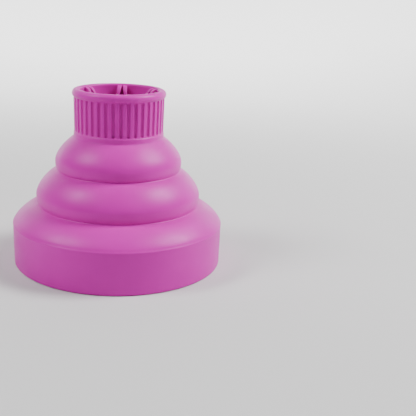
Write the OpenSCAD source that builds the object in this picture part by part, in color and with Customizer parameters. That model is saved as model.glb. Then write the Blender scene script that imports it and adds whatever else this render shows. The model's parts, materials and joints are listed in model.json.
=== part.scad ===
// Collapsible silicone diffuser for a hand hair dryer.
// Millimetres, +Z up. It stands on the rim of its wide end: z = 0 is the rim,
// the dryer's nozzle goes into the fluted collar at the top.
// Drawn expanded. Each conical web turns inside out when its tier is pushed in.

/* [Overall] */
// Overall height, expanded
height = 124.3; // [123.5:0.1:126]
// Outer radius of the skirt at its shoulder
skirt_r = 75; // [74.8:0.1:76]
// Outer radius of the skirt at the rim
foot_r = 74.7; // [74.4:0.1:74.8]
// Height of the skirt's straight wall
skirt_h = 29.3; // [28.5:0.1:30]
// Wall thickness of the skirt
skirt_wall = 2.6; // [2.2:0.1:3]

/* [Lower tier] */
// Largest radius of the lower ring
ring2_r = 58.4; // [57.5:0.1:59]
// Height at which the lower ring is largest
ring2_z = 49.8; // [49:0.1:51]
// Radius of the crease under the lower ring
crease2_r = 56.6; // [55.5:0.1:57]
// Height of the crease under the lower ring
crease2_z = 42.7; // [42:0.1:44]

/* [Upper tier] */
// Largest radius of the upper ring
ring1_r = 44.8; // [44:0.1:46]
// Height at which the upper ring is largest
ring1_z = 73.4; // [72.5:0.1:74.5]
// Radius of the crease under the upper ring
crease1_r = 43.0; // [42:0.1:43.5]
// Height of the crease under the upper ring
crease1_z = 67.6; // [67:0.1:69]

/* [Walls] */
// Thickness of the stiff rings
ring_wall = 2.2; // [2:0.1:2.6]
// Thickness of the webs that turn inside out
web_wall = 1.6; // [1.2:0.1:1.8]

/* [Collar] */
// Radius over the flutes' crests at their foot
collar_r = 31.3; // [31:0.1:31.6]
// Radius over the flutes' crests under the bead
collar_top_r = 31.7; // [31.4:0.1:32]
// Radius over the plain band at the collar's foot
band_r = 31.7; // [31.5:0.1:32]
// Radius of the collar's bore
collar_bore_r = 27.6; // [27.2:0.1:28]
// Height of the collar's lower edge
collar_z = 92.3; // [91.5:0.1:93]
// Radius over the rolled bead
bead_r = 32.8; // [32.4:0.1:33.2]
// Radius of the bead's round section
bead_round = 3.0; // [2.7:0.1:3.2]
// Number of flutes
flutes = 40; // [32:1:42]
// Radius of the flutes' round cutters
flute_cut_r = 1.35; // [1.2:0.05:1.5]
// Depth of a flute
flute_depth = 0.95; // [0.7:0.05:1.1]
// Angle from a fin pair to the next flute
flute_phase = 6.9; // [0:0.1:10]
// Height of the plain band under the flutes
band_h = 2.6; // [2:0.1:4]

/* [Grip fins] */
// Pairs of grip fins
fin_pairs = 6; // [6:1:6]
// How far a fin stands in from the bore
fin_depth = 6.0; // [5:0.1:6.5]
// Width over the outer faces of one pair
pair_w = 6.6; // [6.4:0.1:6.8]
// Thickness of a fin at its top
fin_top_t = 2.7; // [2.4:0.1:2.8]
// Thickness of a fin where its top stops tapering
fin_mid_t = 1.9; // [1.7:0.1:2.1]
// Thickness of a fin at its bottom
fin_foot_t = 1.5; // [1.2:0.1:2]
// Height over which a fin's top edge curves in
fin_curve_h = 9; // [7:0.5:11]
// Gap between a fin's round root and the bore
root_gap = 0.1; // [0.05:0.05:0.2]

/* [Diffuser plate] */
// Height of the plate's underside
plate_z = 14.5; // [13:0.1:15]
// Thickness of the plate
plate_t = 2.5; // [2:0.1:2.6]
// Radius of a vent
vent_r = 2.7; // [2:0.1:3]
// Length of a finger below the plate
finger_h = 11.5; // [8:0.1:12]
// Radius of a finger at the plate
finger_r = 3.6; // [3:0.1:4]
// Radius of a finger near its tip
finger_tip_r = 2.5; // [2:0.1:2.8]
// Radius of the air hole through a finger
finger_hole_r = 1.4; // [1:0.1:1.6]

/* [Hidden] */
$fn = 120;

orchid = [0.80, 0.36, 0.70];
orchid_dark = [0.66, 0.27, 0.57];
plum = [0.55, 0.24, 0.49];

// the bead's section is a circle cut flat at the sleeve
bead_cy = height - bead_round;
bead_cx = bead_r - bead_round;
bead_drop = sqrt(pow(bead_round, 2) - pow(collar_top_r - bead_cx, 2));
bead_z0 = bead_cy - bead_drop;

// rows of fingers and of vents: [radius, count, first angle]
finger_rows = [[18, 6, 0], [36, 12, 0], [56, 18, 0]];
vent_rows = [[0, 1, 0], [9, 6, 30], [18, 6, 30], [27, 12, 15], [36, 12, 15],
             [46, 24, 7.5], [56, 18, 10], [65.5, 36, 5]];

// retaining beads that hold the plate in the skirt
seat_w = 2.2;
seat_h = 2.4;

root_r = 1.3;
root_x = collar_bore_r - root_gap - root_r;
fin_top = height - 1.2;
fin_foot = collar_z + 2.6;
fin_tip_x = collar_bore_r - fin_depth;
fin_taper_h = 6;

// a cubic curve through four control points, and its direction
function cubic(p, t) = pow(1 - t, 3) * p[0] + 3 * pow(1 - t, 2) * t * p[1]
                     + 3 * (1 - t) * t * t * p[2] + pow(t, 3) * p[3];
function cubic_dir(p, t) = 3 * pow(1 - t, 2) * (p[1] - p[0])
                         + 6 * (1 - t) * t * (p[2] - p[1])
                         + 3 * t * t * (p[3] - p[2]);
function unit(v) = v / norm(v);
function out_of(v) = [-v[1], v[0]];

// control points of a web: it leaves its crease at an angle and ends upright,
// or leaning in by a little so that its end shows as an edge
function web_ctrl(rc, zc, r, z, a, s, b, lean = 0) =
    let (d = norm([r - rc, z - zc]))
    [[rc, zc], [rc + s * d * cos(a), zc + s * d * sin(a)],
     [r - lean, z + b * (zc - z)], [r, z]];

// closed section of a web, with a foot that meets the piece above it and a
// flat end that meets the piece below it
function web_section(c, th, foot, n = 18) =
    let (outer = [for (i = [0 : n]) cubic(c, i / n)],
         inner = [for (i = [n : -1 : 0])
                  let (q = cubic(c, i / n) - th * out_of(unit(cubic_dir(c, i / n))))
                  [q[0], max(q[1], c[3][1])]])
    concat([[c[0][0] - foot, c[0][1]]], outer, inner,
           [[c[0][0] - foot, inner[n][1]]]);

// closed section of a ring: upright at the top, tucked in at its crease
function ring_section(r, z, rc, zc, g, th, n = 8) =
    let (c = [[r, z], [r, z - g * (z - zc)], [rc + 0.5 * (r - rc), zc + 0.25], [rc, zc]],
         outer = [for (i = [0 : n]) cubic(c, i / n)])
    concat([[r - th, z]], outer, [[rc - th, zc]]);

web1 = web_ctrl(collar_r - 1.2, collar_z, ring1_r, ring1_z, -34.3, 0.304, 0.37);
web2 = web_ctrl(crease1_r, crease1_z, ring2_r, ring2_z, -14, 0.31, 0.315);
web3 = web_ctrl(crease2_r, crease2_z, skirt_r, skirt_h, -4, 0.27, 0.41, 1.6);

module web(section, tint) {
    color(tint) rotate_extrude() polygon(section);
}

module base_skirt() {
    wall_in = foot_r - skirt_wall;
    color(orchid) rotate_extrude() polygon(concat(
        [[wall_in, 1.0], [wall_in + 0.5, 0.25], [wall_in + 1.0, 0],
         [foot_r - 1.0, 0], [foot_r - 0.3, 0.3], [foot_r, 1.0],
         [skirt_r, skirt_h], [skirt_r - skirt_wall, skirt_h]],
        // upper retaining bead
        [[wall_in, plate_z + plate_t + seat_h], [wall_in - seat_w + 0.9, plate_z + plate_t + 1.2],
         [wall_in - seat_w + 0.9, plate_z + plate_t + 0.4], [wall_in - seat_w + 1.3, plate_z + plate_t],
         [wall_in, plate_z + plate_t]],
        // lower retaining bead that carries the plate
        [[wall_in, plate_z], [wall_in - seat_w, plate_z],
         [wall_in - seat_w, plate_z - 0.8], [wall_in, plate_z - seat_h - 0.6]]));
}

module lower_web() web(web_section(web3, web_wall, ring_wall), orchid);
module middle_web() web(web_section(web2, web_wall, ring_wall), orchid);
module upper_web() web(web_section(web1, web_wall, 2.2), orchid);

module lower_ring() {
    color(orchid) rotate_extrude()
        polygon(ring_section(ring2_r, ring2_z, crease2_r, crease2_z, 0.655, ring_wall));
}

module upper_ring() {
    color(orchid) rotate_extrude()
        polygon(ring_section(ring1_r, ring1_z, crease1_r, crease1_z, 0.77, ring_wall));
}

// sleeve that widens a little towards its bead, with round-bottomed flutes cut
// into its outside and a plain band below them that stands out like a small step
module collar_sleeve() {
    cut_z = collar_z + band_h;
    cut_h = bead_z0 - 0.5 - cut_z;
    draft = atan((collar_top_r - collar_r) / (bead_z0 - cut_z));
    flute_x = collar_r - flute_depth + flute_cut_r;
    color(orchid) difference() {
        rotate_extrude() polygon([
            [collar_bore_r, collar_z], [band_r - 0.8, collar_z],
            [band_r - 0.15, collar_z + 0.1], [band_r, collar_z + 0.4],
            [band_r, collar_z + band_h - 0.5], [collar_r, collar_z + band_h],
            [collar_top_r, bead_z0], [collar_bore_r, bead_z0]]);
        for (i = [0 : flutes - 1])
            rotate([0, 0, -90 + flute_phase + i * 360 / flutes])
                translate([flute_x, 0, cut_z]) rotate([0, draft, 0])
                    cylinder(r = flute_cut_r, h = cut_h, $fn = 24);
    }
}

module collar_bead() {
    color(orchid) rotate_extrude() intersection() {
        translate([bead_cx, bead_cy]) circle(r = bead_round, $fn = 48);
        translate([collar_bore_r, bead_z0]) square([10, 10]);
    }
}

// flat perforated disc, its edge sits between the skirt's retaining beads
module diffuser_plate() {
    edge_r = foot_r - skirt_wall - 0.1;
    color(plum) translate([0, 0, plate_z]) difference() {
        cylinder(r = edge_r, h = plate_t, $fn = 180);
        for (row = vent_rows) for (i = [0 : row[1] - 1])
            rotate([0, 0, row[2] + i * 360 / row[1]]) translate([row[0], 0, -1])
                cylinder(r = vent_r, h = plate_t + 2, $fn = 24);
        for (row = finger_rows) for (i = [0 : row[1] - 1])
            rotate([0, 0, row[2] + i * 360 / row[1]]) translate([row[0], 0, -1])
                cylinder(r = finger_hole_r, h = plate_t + 2, $fn = 24);
    }
}

// hollow round-ended fingers that stand into the hair
module finger() {
    rotate_extrude($fn = 32) polygon(concat(
        [[finger_hole_r, 0], [finger_hole_r, -finger_h + 0.3], [finger_hole_r + 0.3, -finger_h]],
        [for (a = [-75 : 25 : 0])
            [finger_tip_r - 0.8 + 0.8 * cos(a), -finger_h + 0.8 + 0.8 * sin(a)]],
        [[finger_r, 0]]));
}

module diffuser_fingers() {
    color(plum) for (row = finger_rows) for (i = [0 : row[1] - 1])
        rotate([0, 0, row[2] + i * 360 / row[1]])
            translate([row[0], 0, plate_z]) finger();
}

// one grip fin: a round root with a blade that stands in towards the axis.
// k counts the fins; even and odd ones are the two sides of a pair.
function fin_angle(k) = -90 + floor((k - 1) / 2) * 360 / fin_pairs;
function fin_side(k) = (k % 2 == 1) ? 1 : -1;

module fin_body() {
    y_out = pair_w / 2;
    y_root = y_out - root_r - 0.05;
    tip = [for (a = [0 : 10 : 90])
        [root_x - (root_x - fin_tip_x) * sin(a),
         fin_top - fin_curve_h + fin_curve_h * cos(a)]];
    foot = [for (a = [180 : 22.5 : 270])
        [fin_tip_x + 1.5 + 1.5 * cos(a), fin_foot + 1.5 + 1.5 * sin(a)]];
    translate([root_x, y_root, fin_foot])
        cylinder(r = root_r, h = fin_top - 0.6 - fin_foot, $fn = 40);
    intersection() {
        // outline seen from the side
        translate([0, y_out, 0]) rotate([90, 0, 0]) linear_extrude(y_out)
            polygon(concat([[root_x, fin_foot]], tip, foot));
        // taper seen from the axis
        rotate([90, 0, 90]) linear_extrude(root_x + 1)
            polygon([[y_out - fin_foot_t, fin_foot - 1], [y_out, fin_foot - 1],
                     [y_out, fin_top + 1], [y_out - fin_top_t, fin_top + 1],
                     [y_out - fin_top_t, fin_top], [y_out - fin_mid_t, fin_top - fin_taper_h]]);
    }
}

module grip_fin(k) {
    color(orchid_dark) rotate([0, 0, fin_angle(k)])
        if (fin_side(k) > 0) fin_body();
        else mirror([0, 1, 0]) fin_body();
}

module grip_fin_1() grip_fin(1);
module grip_fin_2() grip_fin(2);
module grip_fin_3() grip_fin(3);
module grip_fin_4() grip_fin(4);
module grip_fin_5() grip_fin(5);
module grip_fin_6() grip_fin(6);
module grip_fin_7() grip_fin(7);
module grip_fin_8() grip_fin(8);
module grip_fin_9() grip_fin(9);
module grip_fin_10() grip_fin(10);
module grip_fin_11() grip_fin(11);
module grip_fin_12() grip_fin(12);

base_skirt();
diffuser_plate();
diffuser_fingers();
lower_web();
lower_ring();
middle_web();
upper_ring();
upper_web();
collar_sleeve();
collar_bead();
grip_fin_1();
grip_fin_2();
grip_fin_3();
grip_fin_4();
grip_fin_5();
grip_fin_6();
grip_fin_7();
grip_fin_8();
grip_fin_9();
grip_fin_10();
grip_fin_11();
grip_fin_12();
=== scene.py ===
# Looks for the collapsible silicone diffuser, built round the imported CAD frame. Metres, +Z up.
import bpy
import json
import math
import numpy as np
from mathutils import Matrix, Vector


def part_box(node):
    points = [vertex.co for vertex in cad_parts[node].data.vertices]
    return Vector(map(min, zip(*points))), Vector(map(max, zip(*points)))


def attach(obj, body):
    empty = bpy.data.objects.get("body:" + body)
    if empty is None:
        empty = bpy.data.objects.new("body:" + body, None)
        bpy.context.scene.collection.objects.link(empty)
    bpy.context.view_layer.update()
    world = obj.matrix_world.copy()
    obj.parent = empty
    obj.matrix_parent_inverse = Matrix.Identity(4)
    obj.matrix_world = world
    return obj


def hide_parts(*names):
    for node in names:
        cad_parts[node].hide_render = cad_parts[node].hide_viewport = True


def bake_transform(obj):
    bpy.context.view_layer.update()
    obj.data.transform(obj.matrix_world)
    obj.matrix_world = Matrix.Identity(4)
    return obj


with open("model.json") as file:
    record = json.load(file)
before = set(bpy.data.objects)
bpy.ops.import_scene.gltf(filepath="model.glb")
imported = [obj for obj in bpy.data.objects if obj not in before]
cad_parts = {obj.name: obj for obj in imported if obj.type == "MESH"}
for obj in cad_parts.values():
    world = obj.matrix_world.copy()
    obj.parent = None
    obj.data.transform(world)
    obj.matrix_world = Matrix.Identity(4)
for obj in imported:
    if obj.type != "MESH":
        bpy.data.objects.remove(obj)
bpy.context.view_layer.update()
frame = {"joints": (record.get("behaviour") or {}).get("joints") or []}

MM = 0.001
TRAVEL = {j["name"]: j["range_m"][1] / MM for j in frame["joints"] if j["type"] == "slide"}
T3, T2, T1 = TRAVEL["lower_fold"], TRAVEL["middle_fold"], TRAVEL["collar_fold"]


def node_mm(name):
    lo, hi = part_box(name)
    return lo / MM, hi / MM


# the frame's own sizes, in millimetres
bead_lo, bead_hi = node_mm("collar_bead")
sleeve_lo, sleeve_hi = node_mm("collar_sleeve")
ring1_lo, ring1_hi = node_mm("upper_ring")
ring2_lo, ring2_hi = node_mm("lower_ring")
skirt_lo, skirt_hi = node_mm("base_skirt")
plate_lo, plate_hi = node_mm("diffuser_plate")
tips_lo, tips_hi = node_mm("diffuser_fingers")
fin_lo, fin_hi = node_mm("grip_fin_1")
H, BEAD_R, BEAD_Z = bead_hi.z, bead_hi.x, bead_lo.z
COL_R, COL_TOP, BAND_R, COL_Z = 31.3, 31.7, 31.7, sleeve_lo.z
BORE_R = 27.6
R1, Z1, ZC1, RC1 = ring1_hi.x, ring1_hi.z, ring1_lo.z, 43.0
R2, Z2, ZC2, RC2 = ring2_hi.x, ring2_hi.z, ring2_lo.z, 56.6
SK_R, SK_H, FOOT_R, SK_T = skirt_hi.x, skirt_hi.z, 74.7, 2.6
WEB_T, RING_T = 1.6, 2.2


# ---------------------------------------------------------------- curves
def cubic(p, t):
    p = [np.array(q, float) for q in p]
    t = np.asarray(t, float)[:, None]
    return (1 - t) ** 3 * p[0] + 3 * (1 - t) ** 2 * t * p[1] + 3 * (1 - t) * t * t * p[2] + t**3 * p[3]


def web_ctrl(rc, zc, r, z, a, s, b, lean=0.0):
    d, a = math.hypot(r - rc, z - zc), math.radians(a)
    return [(rc, zc), (rc + s * d * math.cos(a), zc + s * d * math.sin(a)), (r - lean, z + b * (zc - z)), (r, z)]


def offset_in(pts, t):
    """The same line, moved t to its inner side."""
    d = np.gradient(pts, axis=0)
    n = np.stack([-d[:, 1], d[:, 0]], -1)
    n /= np.linalg.norm(n, axis=1)[:, None]
    return pts - n * t


def spline(points, n=240):
    """A smooth line through points, as many samples."""
    p = np.array(points, float)
    p = np.vstack([2 * p[0] - p[1], p, 2 * p[-1] - p[-2]])
    out = []
    for i in range(1, len(p) - 2):
        t = np.linspace(0, 1, max(3, n // (len(p) - 3)), endpoint=False)[:, None]
        a, b, c, d = p[i - 1], p[i], p[i + 1], p[i + 2]
        out.append(0.5 * (2 * b + (c - a) * t + (2 * a - 5 * b + 4 * c - d) * t**2 + (3 * b - a - 3 * c + d) * t**3))
    return np.vstack(out + [p[-2][None]])


WEB1 = web_ctrl(COL_R - 1.2, COL_Z, R1, Z1, -34.3, 0.304, 0.37)
WEB2 = web_ctrl(RC1, ZC1, R2, Z2, -14.0, 0.31, 0.315)
WEB3 = web_ctrl(RC2, ZC2, SK_R, SK_H, -4.0, 0.27, 0.41, 1.6)


# ---------------------------------------------------------------- meshes
def revolve(name, prof, nseg, weights=None):
    """A closed ring of points (r, z) in millimetres turned round Z. Returns the object and a weight per vertex."""
    prof = np.array(prof, float)
    m = len(prof)
    ang = 2 * math.pi * np.arange(nseg) / nseg
    co = np.zeros((nseg, m, 3))
    co[:, :, 0] = prof[:, 0] * np.cos(ang)[:, None]
    co[:, :, 1] = prof[:, 0] * np.sin(ang)[:, None]
    co[:, :, 2] = prof[:, 1]
    w = None if weights is None else np.tile(np.array(weights, float), nseg)
    return mesh_grid(name, co), w


def mesh_grid(name, co):
    """A mesh from rings co[seg, point] that close in both directions, in millimetres."""
    nseg, m = co.shape[:2]
    i = np.arange(nseg)[:, None]
    j = np.arange(m)[None, :]
    a = i * m + j
    b = ((i + 1) % nseg) * m + j
    c = ((i + 1) % nseg) * m + (j + 1) % m
    d = i * m + (j + 1) % m
    faces = np.stack([a, b, c, d], -1).reshape(-1, 4)
    return mesh_from(name, co.reshape(-1, 3), faces)


def mesh_from(name, co, faces):
    me = bpy.data.meshes.new(name)
    me.from_pydata([tuple(v) for v in np.asarray(co) * MM], [], [tuple(int(x) for x in f) for f in faces])
    me.update()
    import bmesh
    bm = bmesh.new()
    bm.from_mesh(me)
    bmesh.ops.recalc_face_normals(bm, faces=bm.faces)
    bm.to_mesh(me)
    bm.free()
    me.polygons.foreach_set("use_smooth", [True] * len(me.polygons))
    me.update()
    ob = bpy.data.objects.new(name, me)
    bpy.context.scene.collection.objects.link(ob)
    return ob


def bend_between(ob):
    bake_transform(ob)


# Each web's outer line after it has turned inside out, in its own tier's resting place.
def fold_line(points, drop):
    return spline([(r, z + drop) for r, z in points])


FOLD1 = fold_line([(R1, Z1 - T2 - T3), (R1 - 0.25, 34.35), (R1 - 0.85, 34.75), (R1 - 1.6, 34.55), (42.2, 33.1),
                   (40.5, 29.0), (38.3, 24.8), (36.4, 22.4), (35.0, 21.15), (33.8, 20.45), (32.9, 20.45), (32.2, 20.8),
                   (31.6, 21.22), (31.0, 21.67), (COL_R - 1.2, COL_Z - T1 - T2 - T3)], T2 + T3)
FOLD2 = fold_line([(R2, Z2 - T3), (R2 - 0.25, 35.15), (R2 - 0.9, 35.6), (R2 - 1.7, 35.4), (55.6, 33.9), (54.0, 30.3),
                   (52.3, 27.2), (50.7, 25.4), (49.2, 24.85), (47.8, 25.4), (46.6, 26.25), (45.3, 26.95), (44.0, 27.5),
                   (RC1, ZC1 - T2 - T3)], T3)
FOLD3 = fold_line([(SK_R, SK_H), (SK_R - 0.3, SK_H + 0.75), (SK_R - 0.75, SK_H + 1.6), (SK_R - 1.35, SK_H + 2.4),
                   (SK_R - 2.1, SK_H + 3.05), (SK_R - 3.0, SK_H + 3.55), (SK_R - 4.1, SK_H + 3.85), (SK_R - 5.5, SK_H + 3.85),
                   (67.6, 32.6), (65.6, 31.3), (63.7, 29.5), (62.1, 27.9), (61.0, 27.0), (60.1, 26.62), (59.2, 26.85),
                   (58.2, 27.14), (57.2, 27.32), (RC2, ZC2 - T3)], 0)


def height_on(line, r):
    o = np.argsort(line[:, 0])
    return np.interp(r, line[o, 0], line[o, 1])


def fold_weight(pts, line, travel, under):
    """How far each web point would follow the lower piece for the web to lie on its folded line; the weights are only
    returned.
    """
    rr = pts[:, 0]
    z = height_on(line, rr)
    if under:
        slope = (height_on(line, rr + 0.2) - height_on(line, rr - 0.2)) / 0.4
        z = z - under * np.minimum(np.sqrt(1 + slope**2), 1.9)
    return np.clip((pts[:, 1] - z) / travel, 0, 1)


def fillet(line, ctrl, r):
    """A small moulded fillet between the end of a ring's outer line and the web that leaves from there."""
    web = cubic(ctrl, np.linspace(0, 0.3, 400))
    best = None
    for q in web:
        d = np.hypot(line[:, 0] - q[0], line[:, 1] - q[1])
        i = int(np.argmin(d))
        if best is None or abs(d[i] - 1.25 * r) < best[0]:
            best = (abs(d[i] - 1.25 * r), i, q)
    _, i, q = best
    p, e = line[i], line[-1]
    t = np.linspace(0, 1, 9)[:, None]
    arc = (1 - t) ** 2 * p + 2 * t * (1 - t) * (0.62 * e + 0.38 * (p + q) / 2) + t**2 * q
    end = web[np.hypot(web[:, 0] - q[0], web[:, 1] - q[1]).argmin() + 6]
    return np.vstack([line[:i], arc, end[None] - [0, 0.03]])


def bell(name, ctrl, line, travel, low_outer, low_inner, foot, nseg=240, n=56, lip=None):
    """One tier: its web and the ring or skirt under it. low_outer goes down from the web's end, low_inner comes back up."""
    t = np.linspace(0, 1, n) ** 0.9
    web = cubic(ctrl, t)
    if lip is not None:
        web, low_outer = web[web[:, 1] > lip[0, 1] + 0.25], np.vstack([lip, low_outer])
    inner = offset_in(cubic(ctrl, np.linspace(0, 0.97, n)), WEB_T)[::-1]
    top = np.array([[ctrl[0][0] - foot, inner[-1, 1]], [ctrl[0][0] - foot, ctrl[0][1]]])
    inner = inner[inner[:, 0] > ctrl[0][0] - foot]
    prof = np.vstack([web, low_outer, low_inner, inner, top])
    w = np.concatenate([
        fold_weight(web, line, travel, 0), np.zeros(len(low_outer) + len(low_inner)),
        fold_weight(inner, line, travel, WEB_T), np.ones(2)])
    ob, weights = revolve(name, prof, nseg, w)
    return ob, weights


def ring_lines(r, z, rc, zc, g, below):
    """Outer line of a ring from its widest point down to its crease, and its inner line back up."""
    c = [(r, z), (r, z - g * (z - zc)), (rc + 0.5 * (r - rc) + 0.15, zc + 0.12), (rc, zc)]
    outer = cubic(c, np.linspace(0, 1, 26)[1:])
    inner = cubic([(rc - RING_T, zc), (rc - RING_T + 0.1, zc + 2), (r - RING_T + 0.4, z - 2.5), (r - RING_T + 0.35, z - 0.4)],
                  np.linspace(0, 1, 12))
    return fillet(outer, below, 1.5), inner


# ---------------------------------------------------------------- the bell's three tiers
o1, i1 = ring_lines(R1, Z1, RC1, ZC1, 0.77, WEB2)
upper_bell, w_upper = bell("upper_bell", WEB1, FOLD1, T1, o1, i1, 2.2)
o2, i2 = ring_lines(R2, Z2, RC2, ZC2, 0.655, WEB3)
middle_bell, w_middle = bell("middle_bell", WEB2, FOLD2, T2, o2, i2, RING_T)


def skirt_lines():
    wall_in = FOOT_R - SK_T
    wall = np.array([(SK_R + (FOOT_R - SK_R) * t, SK_H * (1 - t) + 1.6 * t) for t in np.linspace(0.04, 1, 16)])
    a = np.radians(np.linspace(0, -90, 10))
    foot_o = np.stack([FOOT_R - 1.5 + 1.5 * np.cos(a), 1.5 + 1.5 * np.sin(a)], -1)
    a = np.radians(np.linspace(-90, -180, 8))
    foot_i = np.stack([wall_in + 0.9 + 0.9 * np.cos(a), 0.9 + 0.9 * np.sin(a)], -1)
    z0, z1 = plate_lo.z, plate_hi.z
    seat = np.array([(wall_in, z0 - 3.0), (wall_in - 0.5, z0 - 2.4), (wall_in - 1.7, z0 - 1.2), (wall_in - 2.1, z0 - 0.8),
                     (wall_in - 2.2, z0 - 0.5), (wall_in - 2.15, z0 - 0.15), (wall_in - 2.0, z0),
                     (wall_in - 1.0, z0), (wall_in, z0), (wall_in, z0 + 0.8), (wall_in, z1), (wall_in - 0.7, z1),
                     (wall_in - 1.1, z1 + 0.1), (wall_in - 1.3, z1 + 0.4), (wall_in - 1.3, z1 + 1.0),
                     (wall_in - 1.1, z1 + 1.4), (wall_in - 0.4, z1 + 2.1), (wall_in, z1 + 2.6)])
    up = np.array([(wall_in + (SK_R - SK_T - wall_in) * t, (z1 + 3.2) * (1 - t) + (SK_H - 2.2) * t)
                   for t in np.linspace(0, 1, 6)])
    end = np.array([(SK_R - SK_T + 0.12, SK_H - 1.3), (SK_R - SK_T + 0.45, SK_H - 0.5)])
    return np.vstack([wall, foot_o]), np.vstack([foot_i, [(wall_in, 4.0), (wall_in, 8.0)], seat, up, end])


def shoulder_lip():
    """The moulded edge where the lower web meets the skirt: a fine raised line."""
    return np.array([(SK_R - 0.93, SK_H + 2.05), (SK_R - 0.77, SK_H + 1.72), (SK_R - 0.62, SK_H + 1.42), (SK_R - 0.46, SK_H + 1.16),
                     (SK_R - 0.28, SK_H + 0.93), (SK_R - 0.10, SK_H + 0.70), (SK_R + 0.03, SK_H + 0.46), (SK_R + 0.09, SK_H + 0.22),
                     (SK_R + 0.10, SK_H - 0.04), (SK_R + 0.07, SK_H - 0.30), (SK_R + 0.01, SK_H - 0.60)])


o3, i3 = skirt_lines()
skirt_bell, w_skirt = bell("skirt_bell", WEB3, FOLD3, T3, o3, i3, RING_T, nseg=300, lip=shoulder_lip())


# ---------------------------------------------------------------- fluted collar with its rolled bead
FLUTES, PITCH = 40, 2 * math.pi / 40
FLUTE_PHASE = math.radians(-90 + 6.9)
G_HALF, G_DEEP = 1.32, 1.3
G_Z0, G_Z1 = COL_Z + 2.8 + G_HALF, BEAD_Z - 0.5 - G_HALF * 0.6


def groove_depth(x, z):
    """Depth of the flute at x millimetres from its middle, with round ends and softened lips."""
    dz = np.maximum(0, np.maximum(G_Z0 - z, z - G_Z1))
    d = np.hypot(x, dz) / G_HALF
    core = np.sqrt(np.clip(1 - (d * 0.93) ** 2, 0, 1))
    soft = np.clip((1.22 - d) / 0.44, 0, 1)
    return G_DEEP * core * soft * soft * (3 - 2 * soft)


def collar_mesh():
    zs = np.concatenate([np.linspace(COL_Z + 2.62, G_Z0 + 0.6, 14), np.linspace(G_Z0 + 1.4, G_Z1 - 1.4, 12),
                         np.linspace(G_Z1 - 0.6, BEAD_Z - 0.1, 14)])
    up = np.stack([COL_R + (COL_TOP - COL_R) * (zs - COL_Z - 2.6) / (BEAD_Z - COL_Z - 2.6), zs], -1)
    # the plain band stands out like a small step, and meets the web in a tight round
    web = cubic(WEB1, np.linspace(0, 0.3, 300))
    foot_at = web[np.abs(web[:, 0] - BAND_R - 0.45).argmin()]
    t = np.linspace(0, 1, 7)[:, None]
    low = (1 - t) ** 2 * foot_at + 2 * t * (1 - t) * np.array([BAND_R, foot_at[1] + 0.35]) + t**2 * np.array([BAND_R, foot_at[1] + 1.1])
    step = np.array([(BAND_R, COL_Z + 0.6), (BAND_R, COL_Z + 1.2), (BAND_R, COL_Z + 1.7), (BAND_R - 0.02, COL_Z + 1.9),
                     (BAND_R - 0.09, COL_Z + 2.1), (BAND_R - 0.2, COL_Z + 2.25), (COL_R + 0.07, COL_Z + 2.42), (COL_R, COL_Z + 2.52)])
    low = np.vstack([low[low[:, 1] < COL_Z + 0.5], step])
    br = 3.0  # the bead's round section
    cx, cz = BEAD_R - br, H - br
    a0 = -math.degrees(math.acos((COL_TOP + 0.05 - cx) / br))
    a = np.radians(np.linspace(a0 + 3, 92, 34))
    bead = np.stack([cx + br * np.cos(a), cz + br * np.sin(a)], -1)
    neck = np.array([(COL_TOP, BEAD_Z - 0.03)])
    a = np.radians(np.linspace(78, 0, 9))
    ir = 1.5
    mouth = np.stack([BORE_R + ir - ir * np.cos(a), H - ir + ir * np.sin(a)], -1)
    bore = np.stack([np.full(14, BORE_R), np.linspace(H - ir - 1, COL_Z + 0.7, 14)], -1)
    foot = np.array([(BORE_R + 0.15, COL_Z + 0.25), (BORE_R + 0.5, COL_Z), (BORE_R + 1.6, COL_Z)])
    prof = np.vstack([low, up, neck, bead, mouth, bore, foot])
    per = 20
    nseg = FLUTES * per
    th = FLUTE_PHASE + 2 * math.pi * np.arange(nseg) / nseg
    x = ((np.arange(nseg) + per // 2) % per - per // 2) * (PITCH / per) * COL_R
    r = np.repeat(prof[:, 0][None], nseg, 0)
    is_wall = np.zeros(len(prof), bool)
    is_wall[len(low) - 2:len(low) + len(up)] = True
    r[:, is_wall] -= groove_depth(x[:, None], prof[is_wall, 1][None])
    co = np.stack([r * np.cos(th)[:, None], r * np.sin(th)[:, None], np.repeat(prof[:, 1][None], nseg, 0)], -1)
    return mesh_grid("collar", co)


collar = collar_mesh()


# ---------------------------------------------------------------- grip fins
ROOT_X, PAIR_W, FIN_TIP = BORE_R - 1.4, 6.85, BORE_R - 6.0
F_TOP, F_FOOT, F_CURVE = fin_hi.z, fin_lo.z, 9.0


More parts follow.
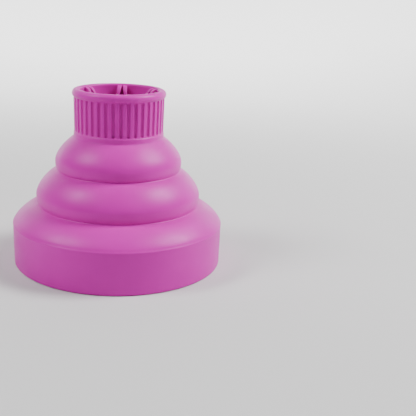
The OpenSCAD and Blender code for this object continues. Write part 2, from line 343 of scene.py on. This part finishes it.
def fin_mesh(k):
    """A blade lofted from level sections: parallel outer face, tapered inner face, flared root, round tip."""
    side = 1 if k % 2 else -1
    zs = np.concatenate([F_FOOT + 1.5 * (1 - np.cos(np.linspace(0, math.pi / 2, 8))),
                         np.linspace(F_FOOT + 2.2, F_TOP - F_CURVE, 10)[:-1],
                         F_TOP - F_CURVE + F_CURVE * np.sin(np.linspace(0, math.pi / 2, 26))])
    rows = []
    for z in zs:
        tip = FIN_TIP
        if z > F_TOP - F_CURVE:
            tip = ROOT_X + 0.9 - (ROOT_X + 0.9 - FIN_TIP) * math.sqrt(max(0, 1 - ((z - F_TOP + F_CURVE) / F_CURVE) ** 2))
        if z < F_FOOT + 1.5:
            tip = FIN_TIP + 1.5 - 1.5 * math.sqrt(max(0, 1 - ((F_FOOT + 1.5 - z) / 1.5) ** 2))
        f = (z - F_FOOT) / (F_TOP - F_FOOT)
        t = float(np.interp(z, [F_FOOT, F_TOP - 6.0, F_TOP - 0.6], [1.5, 1.9, 2.75]))
        yo = PAIR_W / 2 - 0.1 * max(0.0, (f - 0.75) / 0.25)
        yi = yo - t
        rad = min(0.48 * t, 0.62)
        wall = BORE_R + 0.5
        flare = 0.75
        depth = max(0.02, BORE_R - tip)
        rad = min(rad, depth * 0.45)
        fl = min(flare, depth * 0.5)
        a = np.linspace(0, math.pi / 2, 6)
        outer = [(wall, yo + fl * 0.9)] + [(BORE_R - fl + fl * math.cos(b) ** 1.0 * 1.0, yo + fl - fl * math.sin(b)) for b in a]
        outer += [(BORE_R - fl - (BORE_R - fl - tip - rad) * q, yo) for q in (0.25, 0.5, 0.75)]
        tips = [(tip + rad - rad * math.sin(b), yo - rad + rad * math.cos(b)) for b in a]
        tips += [(tip + rad - rad * math.cos(b), yi + rad - rad * math.sin(b)) for b in a]
        inner = [(tip + rad + (BORE_R - fl - tip - rad) * q, yi) for q in (0.25, 0.5, 0.75)]
        inner += [(BORE_R - fl + fl * math.sin(b), yi - fl + fl * math.cos(b)) for b in a]
        inner += [(wall, yi - fl * 0.9)]
        rows.append([(x, y * side, z) for x, y in outer + tips + inner])
    co = np.array(rows)
    # where the blade stands off the bore, its wall end follows the bore's round
    y = co[..., 1]
    co[..., 0] += np.sqrt(BORE_R**2 - y**2) - BORE_R
    ang = math.radians(-90 + ((k - 1) // 2) * 60)
    c, s = math.cos(ang), math.sin(ang)
    x, y = co[..., 0] * c - co[..., 1] * s, co[..., 0] * s + co[..., 1] * c
    co = np.stack([x, y, co[..., 2]], -1)
    nl, m = co.shape[:2]
    faces = [(i * m + j, i * m + (j + 1) % m, (i + 1) * m + (j + 1) % m, (i + 1) * m + j) for i in range(nl - 1) for j in range(m)]
    faces += [tuple(range(m)), tuple((nl - 1) * m + j for j in range(m - 1, -1, -1))]
    ob = mesh_from(f"grip_fin_rubber_{k}", co.reshape(-1, 3), faces)
    start = Vector((c * (BORE_R + 0.1), s * (BORE_R + 0.1), 110)) * MM
    end = Vector((c * (ROOT_X - 0.9), s * (ROOT_X - 0.9), 110)) * MM
    return ob, start, end


# ---------------------------------------------------------------- plate and fingers
FINGER_ROWS = [(18, 6, 0), (36, 12, 0), (56, 18, 0)]
VENT_ROWS = [(0, 1, 0), (9, 6, 30), (18, 6, 30), (27, 12, 15), (36, 12, 15), (46, 24, 7.5), (56, 18, 10), (65.5, 36, 5)]


def row_points(rows):
    return [(r * math.cos(math.radians(a0 + i * 360 / n)), r * math.sin(math.radians(a0 + i * 360 / n)))
            for r, n, a0 in rows for i in range(n)]


def plate_mesh():
    """A disc with moulded, softly rounded vents, made as a filled flat curve with a small bevel."""
    cu = bpy.data.curves.new("plate_curve", "CURVE")
    cu.dimensions, cu.fill_mode = "2D", "BOTH"
    bev, t = 0.28, plate_hi.z - plate_lo.z
    circles = [(0, 0, plate_hi.x - bev, 200)]
    circles += [(x, y, 2.7 + bev, 28) for x, y in row_points(VENT_ROWS)]
    circles += [(x, y, 1.4 + bev, 20) for x, y in row_points(FINGER_ROWS)]
    for x, y, r, n in circles:
        sp = cu.splines.new("POLY")
        sp.points.add(n - 1)
        for i in range(n):
            a = 2 * math.pi * i / n
            sp.points[i].co = ((x + r * math.cos(a)) * MM, (y + r * math.sin(a)) * MM, 0, 1)
        sp.use_cyclic_u = True
    cu.extrude = (t / 2 - bev) * MM
    cu.bevel_depth = bev * MM
    cu.bevel_resolution = 2
    tmp = bpy.data.objects.new("plate_curve", cu)
    bpy.context.scene.collection.objects.link(tmp)
    dg = bpy.context.evaluated_depsgraph_get()
    me = bpy.data.meshes.new_from_object(tmp.evaluated_get(dg))
    bpy.data.objects.remove(tmp)
    me.transform(Matrix.Translation((0, 0, (plate_lo.z + t / 2) * MM)))
    import bmesh
    bm = bmesh.new()
    bm.from_mesh(me)
    bmesh.ops.remove_doubles(bm, verts=bm.verts, dist=1e-6)
    bmesh.ops.recalc_face_normals(bm, faces=bm.faces)
    for e in bm.edges:
        e.smooth = len(e.link_faces) == 2 and e.calc_face_angle(0) < math.radians(38)
    bm.to_mesh(me)
    bm.free()
    me.polygons.foreach_set("use_smooth", [True] * len(me.polygons))
    me.materials.clear()
    ob = bpy.data.objects.new("vented_plate", me)
    bpy.context.scene.collection.objects.link(ob)
    return ob


def fingers_mesh():
    """All fingers as one moulding: hollow, tapered, with rounded tips and a small fillet where they leave the plate."""
    hr, tr, br, h = 1.4, 2.5, 3.6, tips_hi.z - tips_lo.z
    top = plate_lo.z
    a = np.radians(np.linspace(-85, 0, 8))
    tip = np.stack([tr - 1.0 + 1.0 * np.cos(a), -h + 1.0 + 1.0 * np.sin(a)], -1)
    wall = np.array([(tr + (br - 0.35 - tr) * q, -h + 1.0 + (h - 2.0) * q) for q in np.linspace(0.15, 1, 7)])
    fil = np.array([(br - 0.3, -0.7), (br - 0.18, -0.35), (br, -0.02), (br, 0)])
    bore = np.array([(hr, 0), (hr, -h * 0.5), (hr, -h + 0.6), (hr + 0.12, -h + 0.15), (hr + 0.4, -h + 0.004)])
    prof = np.vstack([bore, tip, wall, fil])
    n = 24
    ang = 2 * math.pi * np.arange(n) / n
    verts, faces, m = [], [], len(prof)
    for x, y in row_points(FINGER_ROWS):
        base = len(verts)
        for q in ang:
            for r, z in prof:
                verts.append((x + r * math.cos(q), y + r * math.sin(q), top + z))
        for i in range(n):
            for j in range(m):
                faces.append((base + i * m + j, base + ((i + 1) % n) * m + j,
                              base + ((i + 1) % n) * m + (j + 1) % m, base + i * m + (j + 1) % m))
    return mesh_from("plate_fingers", verts, faces)


plate = plate_mesh()
fingers = fingers_mesh()


# ---------------------------------------------------------------- materials
def nodes_of(name):
    mat = bpy.data.materials.new(name)
    mat.use_nodes = True
    nt = mat.node_tree
    nt.nodes.clear()
    out = nt.nodes.new("ShaderNodeOutputMaterial")
    bsdf = nt.nodes.new("ShaderNodeBsdfPrincipled")
    nt.links.new(bsdf.outputs[0], out.inputs[0])
    return mat, nt, bsdf


def noise_node(nt, coord, scale, detail=3.0, rough=0.5, stretch=None):
    src = coord
    if stretch:
        mp = nt.nodes.new("ShaderNodeMapping")
        mp.inputs["Scale"].default_value = stretch
        nt.links.new(coord, mp.inputs["Vector"])
        src = mp.outputs[0]
    n = nt.nodes.new("ShaderNodeTexNoise")
    n.inputs["Scale"].default_value = scale
    n.inputs["Detail"].default_value = detail
    n.inputs["Roughness"].default_value = rough
    nt.links.new(src, n.inputs["Vector"])
    return n.outputs["Fac"]


def ramp(nt, fac, stops):
    r = nt.nodes.new("ShaderNodeValToRGB")
    r.color_ramp.elements[0].position, r.color_ramp.elements[0].color = stops[0][0], (*stops[0][1], 1)
    r.color_ramp.elements[1].position, r.color_ramp.elements[1].color = stops[-1][0], (*stops[-1][1], 1)
    for p, c in stops[1:-1]:
        r.color_ramp.elements.new(p).color = (*c, 1)
    nt.links.new(fac, r.inputs[0])
    return r.outputs[0]


def map_range(nt, v, a, b, c, d):
    m = nt.nodes.new("ShaderNodeMapRange")
    m.inputs[1].default_value, m.inputs[2].default_value = a, b
    m.inputs[3].default_value, m.inputs[4].default_value = c, d
    nt.links.new(v, m.inputs[0])
    return m.outputs[0]


ORCHID = (0.68, 0.013, 0.465)


def rubber(name, base, rough=0.41):
    """Matte moulded silicone: spark-eroded grain, faint clouding in the pigment, a little dust bloom, soft depth."""
    mat, nt, b = nodes_of(name)
    co = nt.nodes.new("ShaderNodeTexCoord").outputs["Object"]
    cloud = noise_node(nt, co, 34, 4, 0.55)
    dark = tuple(c * f for c, f in zip(base, (0.955, 0.92, 0.95)))
    light = tuple(min(1, c * f) for c, f in zip(base, (1.035, 1.09, 1.045)))
    col = ramp(nt, cloud, [(0.3, dark), (0.5, base), (0.72, light)])
    nt.links.new(col, b.inputs["Base Color"])
    blotch = noise_node(nt, co, 120, 3, 0.6)
    nt.links.new(map_range(nt, blotch, 0.3, 0.7, rough - 0.035, rough + 0.045), b.inputs["Roughness"])
    grain = noise_node(nt, co, 2600, 2, 0.6)
    wave = noise_node(nt, co, 46, 2, 0.5)
    bump1 = nt.nodes.new("ShaderNodeBump")
    bump1.inputs["Strength"].default_value = 0.10
    bump1.inputs["Distance"].default_value = 0.00006
    nt.links.new(grain, bump1.inputs["Height"])
    bump2 = nt.nodes.new("ShaderNodeBump")
    bump2.inputs["Strength"].default_value = 0.12
    bump2.inputs["Distance"].default_value = 0.0006
    nt.links.new(wave, bump2.inputs["Height"])
    nt.links.new(bump2.outputs[0], bump1.inputs["Normal"])
    nt.links.new(bump1.outputs[0], b.inputs["Normal"])
    b.inputs["Specular IOR Level"].default_value = 0.44
    b.inputs["Specular Tint"].default_value = (1.0, 0.58, 0.9, 1)
    b.inputs["IOR"].default_value = 1.41
    b.inputs["Sheen Weight"].default_value = 0.008
    b.inputs["Sheen Roughness"].default_value = 0.4
    b.inputs["Sheen Tint"].default_value = (1.0, 0.8, 0.95, 1)
    b.inputs["Subsurface Weight"].default_value = 0.1
    b.inputs["Subsurface Radius"].default_value = (1.0, 0.35, 0.8)
    b.inputs["Subsurface Scale"].default_value = 0.0016
    return mat


def nylon(name, base):
    """Satin moulded plastic with flow streaks from the middle and a fine eroded texture."""
    mat, nt, b = nodes_of(name)
    co = nt.nodes.new("ShaderNodeTexCoord").outputs["Object"]
    streak = noise_node(nt, co, 26, 5, 0.6)
    dark = tuple(c * 0.93 for c in base)
    light = tuple(min(1, c * 1.07) for c in base)
    nt.links.new(ramp(nt, streak, [(0.3, dark), (0.7, light)]), b.inputs["Base Color"])
    nt.links.new(map_range(nt, noise_node(nt, co, 240, 3, 0.6), 0.3, 0.7, 0.36, 0.47), b.inputs["Roughness"])
    bump = nt.nodes.new("ShaderNodeBump")
    bump.inputs["Strength"].default_value = 0.14
    bump.inputs["Distance"].default_value = 0.00005
    nt.links.new(noise_node(nt, co, 3400, 2, 0.6), bump.inputs["Height"])
    nt.links.new(bump.outputs[0], b.inputs["Normal"])
    b.inputs["Specular IOR Level"].default_value = 0.5
    b.inputs["IOR"].default_value = 1.53
    return mat


silicone = rubber("orchid_silicone", ORCHID)
plastic = nylon("plum_nylon", tuple(c * f for c, f in zip(ORCHID, (0.72, 0.72, 0.74))))

for ob in (upper_bell, middle_bell, skirt_bell, collar):
    ob.data.materials.append(silicone)
for ob in (plate, fingers):
    ob.data.materials.append(plastic)
    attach(ob, "base")

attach(collar, "collar")
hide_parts("collar_sleeve", "collar_bead")
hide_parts("upper_web", "upper_ring")
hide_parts("middle_web", "lower_ring")
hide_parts("lower_web", "base_skirt")
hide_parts("diffuser_plate")
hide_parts("diffuser_fingers")
bend_between(upper_bell)
bend_between(middle_bell)
bend_between(skirt_bell)
for k in range(1, 13):
    fin, start, end = fin_mesh(k)
    fin.data.materials.append(silicone)
    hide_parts(f"grip_fin_{k}")
    bend_between(fin)


# ---------------------------------------------------------------- stage, light, camera
def plain(name, color, rough=0.8):
    mat, nt, b = nodes_of(name)
    b.inputs["Base Color"].default_value = (*color, 1)
    b.inputs["Roughness"].default_value = rough
    b.inputs["Specular IOR Level"].default_value = 0.2
    return mat


VIEW_TURN = math.radians(4.6)  # the camera stands this far round from -Y


def turned(v):
    c, s = math.cos(VIEW_TURN), math.sin(VIEW_TURN)
    return Vector((v[0] * c - v[1] * s, v[0] * s + v[1] * c, v[2]))


# a paper floor that sweeps up into a wall all the way round
sweep = [(r, 0.0) for r in np.linspace(0.15, 0.9, 6)]
sweep += [(0.9 + 0.9 * math.sin(a), 0.9 - 0.9 * math.cos(a)) for a in np.linspace(0.1, math.pi / 2, 14)]
sweep += [(1.8, z) for z in (1.3, 2.0, 3.0)]
TURNS = 96
verts = [(0.0, 0.0, 0.0)] + [(r / MM * math.cos(k * 2 * math.pi / TURNS), r / MM * math.sin(k * 2 * math.pi / TURNS), z / MM)
                             for r, z in sweep for k in range(TURNS)]
faces = [(0, 1 + k, 1 + (k + 1) % TURNS) for k in range(TURNS)]
faces += [(1 + i * TURNS + k, 1 + (i + 1) * TURNS + k, 1 + (i + 1) * TURNS + (k + 1) % TURNS, 1 + i * TURNS + (k + 1) % TURNS)
          for i in range(len(sweep) - 1) for k in range(TURNS)]
floor = mesh_from("floor", verts, faces)
# pale under and behind the object, and darker on the walls beside and in front, so that they throw little light back
at = np.array(verts) * MM
away = np.clip((np.hypot(at[:, 0], at[:, 1]) - 0.65) / 0.9, 0, 1)
side = np.clip((1.15 - at[:, 1]) / 0.8, 0, 1)
tone = floor.data.attributes.new("tone", "FLOAT", "POINT")
tone.data.foreach_set("value", (0.72 - 0.63 * away * away * (3 - 2 * away) * side).tolist())
paper = plain("paper", (0.72, 0.72, 0.72))
shade = paper.node_tree.nodes.new("ShaderNodeAttribute")
shade.attribute_name = "tone"
paper.node_tree.links.new(shade.outputs["Fac"], paper.node_tree.nodes["Principled BSDF"].inputs["Base Color"])
floor.data.materials.append(paper)


def softbox(name, at, look, size, watts, color=(1, 1, 1)):
    la = bpy.data.lights.new(name, "AREA")
    la.shape, la.size, la.size_y = "RECTANGLE", size[0], size[1]
    la.energy, la.color = watts, color
    ob = bpy.data.objects.new(name, la)
    bpy.context.scene.collection.objects.link(ob)
    ob.location = turned(at)
    ob.rotation_mode = "QUATERNION"
    ob.rotation_quaternion = (turned(look) - ob.location).to_track_quat("-Z", "Y")
    return ob


softbox("right_key", (0.83, -0.04, 0.93), (0, 0, 0.06), (0.5, 0.5), 21)
softbox("left_key", (-0.82, -0.19, 0.93), (0, 0, 0.06), (0.42, 0.42), 11)
softbox("backdrop_wash", (0, 1.15, 1.25), (0, 1.25, 0.0), (2.6, 0.6), 32).data.spread = math.radians(88)

world = bpy.data.worlds.new("studio")
bpy.context.scene.world = world
world.use_nodes = True
bg = world.node_tree.nodes.get("Background") or world.node_tree.nodes.new("ShaderNodeBackground")
bg.inputs[0].default_value = (1.0, 0.99, 0.99, 1)
bg.inputs[1].default_value = 0.005

cam = bpy.data.cameras.new("camera")
cam.lens, cam.sensor_width, cam.sensor_fit = 64.57, 36, "HORIZONTAL"
cam.shift_x = 0.049
cam.clip_start, cam.clip_end = 0.01, 20
cam_ob = bpy.data.objects.new("camera", cam)
bpy.context.scene.collection.objects.link(cam_ob)
D_CAM, Z_CAM, YAW, PITCH_DN, ROLL = 0.52307, 0.19494, 5.538, 16.62, 2.093
y, p, r = (math.radians(a) for a in (YAW, PITCH_DN, ROLL))
fwd = Vector((math.sin(y) * math.cos(p), math.cos(y) * math.cos(p), -math.sin(p)))
right = Vector((math.cos(y), -math.sin(y), 0))
up = right.cross(fwd)
rr = math.cos(r) * right + math.sin(r) * up
uu = -math.sin(r) * right + math.cos(r) * up
rr, uu, fwd = turned(rr), turned(uu), turned(fwd)
m = Matrix((rr, uu, -fwd)).transposed()
cam_ob.matrix_world = Matrix.Translation(turned((0, -D_CAM, Z_CAM))) @ m.to_4x4()
bpy.context.scene.camera = cam_ob
